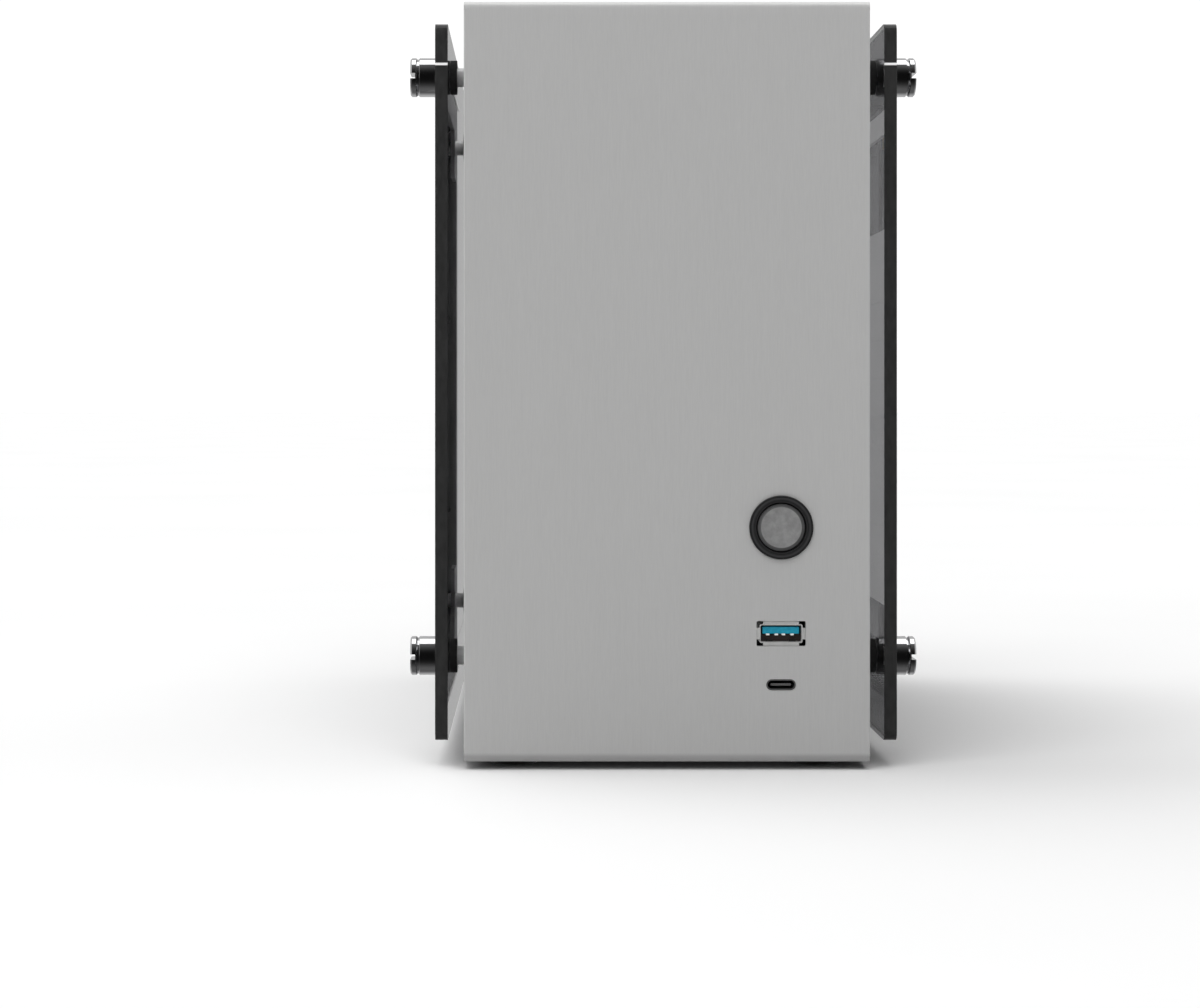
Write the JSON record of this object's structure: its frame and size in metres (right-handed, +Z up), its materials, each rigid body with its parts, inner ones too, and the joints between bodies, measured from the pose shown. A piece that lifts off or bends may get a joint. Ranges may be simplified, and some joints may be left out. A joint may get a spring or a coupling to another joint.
{
  "type": "desktop computer tower",
  "caption": "Small upright desktop computer with an aluminium shell, two glass sides on thumbscrews, a power button and two front ports.",
  "frame": {"origin": "on the floor, under the centre of the case", "axes": "+Z up, the front panel faces -Y, +X to the right of someone facing the front"},
  "size_m": [0.1628, 0.3212, 0.2405],
  "materials": {
    "chrome_knob": "polished",
    "brushed_aluminium": "fine vertical brush, clear anodised",
    "black_steel": "fine-textured black powder coat",
    "black_mesh": "satin black",
    "black_rubber": "matt",
    "bright_aluminium": "turned, bright",
    "tinted_glass": "tinted, polished",
    "black_screws": "black oxide",
    "black_anodised": "black anodised, satin",
    "nickel_plated": "plated",
    "black_plastic": "moulded",
    "spring_steel": "bright wire",
    "grey_anodised": "grey anodised, satin",
    "port_steel": "stamped, plated",
    "port_tongue": "moulded, blue in the larger port",
    "circuit_board": "black solder mask",
    "brass": "turned",
    "bare_aluminium": "bare fins, nickel-plated pipes",
    "fan_plastic": "moulded",
    "rotor_plastic": "moulded, satin",
    "memory_spreader": "black anodised",
    "chips": "moulded",
    "dark_heatsink": "dark anodised",
    "shroud_plastic": "moulded, fine texture",
    "dark_plate": "dark anodised, brushed",
    "silver_sheet": "anodised sheet",
    "cable_sleeve": "black sleeve"
  },
  "bodies": {
    "chassis": {"outer_shell": "brushed_aluminium", "rear_panel": "black_steel", "left_side_frame": "black_steel", "right_side_frame": "black_steel", "motherboard_tray": "black_steel", "dust_filters": "black_mesh", "rubber_feet": "black_rubber", "glass_standoffs": "bright_aluminium", "glass_spacers": "black_rubber", "panel_screws": "black_screws", "button_barrel": "black_anodised", "button_nut": "nickel_plated", "button_contact_block": "black_plastic", "button_spring": "spring_steel", "usb_a_port": "port_steel", "usb_c_port": "port_steel", "usb_tongues": "port_tongue", "front_io_board": "circuit_board", "motherboard": "circuit_board", "board_standoffs": "brass", "io_shield": "port_steel", "rear_io_ports": "port_steel", "cpu_package": "port_steel", "cpu_heatsink": "bare_aluminium", "cpu_fan_frame": "fan_plastic", "memory_modules": "memory_spreader", "board_slots": "black_plastic", "m2_drive": "chips", "board_heatsinks": "dark_heatsink", "board_connectors": "black_plastic", "graphics_board": "circuit_board", "graphics_heatsink": "bare_aluminium", "graphics_shroud": "shroud_plastic", "graphics_backplate": "dark_plate", "graphics_bracket": "port_steel", "psu_housing": "black_steel", "psu_grille": "black_screws", "psu_fan_frame": "fan_plastic", "psu_bracket": "silver_sheet", "mains_inlet": "black_plastic", "power_cables": "cable_sleeve", "front_io_cables": "cable_sleeve", "top_fan_frame": "fan_plastic"},
    "left_glass": {"left_glass": "tinted_glass"},
    "right_glass": {"right_glass": "tinted_glass"},
    "power_button": {"power_button_cap": "grey_anodised"},
    "cpu_fan": {"cpu_fan_rotor": "rotor_plastic"},
    "top_fan": {"top_fan_rotor": "rotor_plastic"},
    "graphics_fan_front": {"graphics_fan_rotor_front": "rotor_plastic"},
    "graphics_fan_rear": {"graphics_fan_rotor_rear": "rotor_plastic"},
    "psu_fan": {"psu_fan_rotor": "rotor_plastic"},
    "psu_rocker": {"psu_switch_rocker": "black_plastic"},
    "thumbscrew_left_front_low": {"thumbscrew_left_front_low": "chrome_knob"},
    "thumbscrew_left_front_high": {"thumbscrew_left_front_high": "chrome_knob"},
    "thumbscrew_left_rear_low": {"thumbscrew_left_rear_low": "chrome_knob"},
    "thumbscrew_left_rear_high": {"thumbscrew_left_rear_high": "chrome_knob"},
    "thumbscrew_right_front_low": {"thumbscrew_right_front_low": "chrome_knob"},
    "thumbscrew_right_front_high": {"thumbscrew_right_front_high": "chrome_knob"},
    "thumbscrew_right_rear_low": {"thumbscrew_right_rear_low": "chrome_knob"},
    "thumbscrew_right_rear_high": {"thumbscrew_right_rear_high": "chrome_knob"}
  },
  "joints": [
    {"name": "power_button_press", "type": "slide", "parent": "chassis", "child": "power_button", "axis": [0, 1, 0], "range_m": [0, 0.0016], "stiffness_N_per_m": 900, "springref_m": -0.0012, "deforming": ["button_spring"]},
    {"name": "left_glass_lift_off", "type": "slide", "parent": "chassis", "child": "left_glass", "axis": [-1, 0, 0], "range_m": [0, 0.06]},
    {"name": "right_glass_lift_off", "type": "slide", "parent": "chassis", "child": "right_glass", "axis": [1, 0, 0], "range_m": [0, 0.06]},
    {"name": "thumbscrew_left_front_low_turn", "type": "hinge", "parent": "left_glass", "child": "thumbscrew_left_front_low", "pos_m": [-0.076, -0.128, 0.0331], "axis": [-1, 0, 0], "continuous": true},
    {"name": "thumbscrew_left_front_high_turn", "type": "hinge", "parent": "left_glass", "child": "thumbscrew_left_front_high", "pos_m": [-0.076, -0.128, 0.22], "axis": [-1, 0, 0], "continuous": true},
    {"name": "thumbscrew_left_rear_low_turn", "type": "hinge", "parent": "left_glass", "child": "thumbscrew_left_rear_low", "pos_m": [-0.076, 0.128, 0.0331], "axis": [-1, 0, 0], "continuous": true},
    {"name": "thumbscrew_left_rear_high_turn", "type": "hinge", "parent": "left_glass", "child": "thumbscrew_left_rear_high", "pos_m": [-0.076, 0.128, 0.22], "axis": [-1, 0, 0], "continuous": true},
    {"name": "thumbscrew_right_front_low_turn", "type": "hinge", "parent": "right_glass", "child": "thumbscrew_right_front_low", "pos_m": [0.076, -0.128, 0.0331], "axis": [1, 0, 0], "continuous": true},
    {"name": "thumbscrew_right_front_high_turn", "type": "hinge", "parent": "right_glass", "child": "thumbscrew_right_front_high", "pos_m": [0.076, -0.128, 0.22], "axis": [1, 0, 0], "continuous": true},
    {"name": "thumbscrew_right_rear_low_turn", "type": "hinge", "parent": "right_glass", "child": "thumbscrew_right_rear_low", "pos_m": [0.076, 0.128, 0.0331], "axis": [1, 0, 0], "continuous": true},
    {"name": "thumbscrew_right_rear_high_turn", "type": "hinge", "parent": "right_glass", "child": "thumbscrew_right_rear_high", "pos_m": [0.076, 0.128, 0.22], "axis": [1, 0, 0], "continuous": true},
    {"name": "cpu_fan_spin", "type": "hinge", "parent": "chassis", "child": "cpu_fan", "pos_m": [-0.02, 0.0736, 0.146], "axis": [-1, 0, 0], "continuous": true},
    {"name": "top_fan_spin", "type": "hinge", "parent": "chassis", "child": "top_fan", "pos_m": [0, 0.04, 0.23], "axis": [0, 0, -1], "continuous": true},
    {"name": "graphics_fan_front_spin", "type": "hinge", "parent": "chassis", "child": "graphics_fan_front", "pos_m": [-0.012, 0.0232, 0.024], "axis": [0, 0, -1], "continuous": true},
    {"name": "graphics_fan_rear_spin", "type": "hinge", "parent": "chassis", "child": "graphics_fan_rear", "pos_m": [-0.012, 0.1072, 0.024], "axis": [0, 0, -1], "continuous": true},
    {"name": "psu_fan_spin", "type": "hinge", "parent": "chassis", "child": "psu_fan", "pos_m": [0.0047, -0.08, 0.1095], "axis": [-1, 0, 0], "continuous": true},
    {"name": "psu_rocker_tip", "type": "hinge", "parent": "chassis", "child": "psu_rocker", "pos_m": [0.042, -0.127, 0.133], "axis": [1, 0, 0], "range_deg": [-7, 7]}
  ]
}
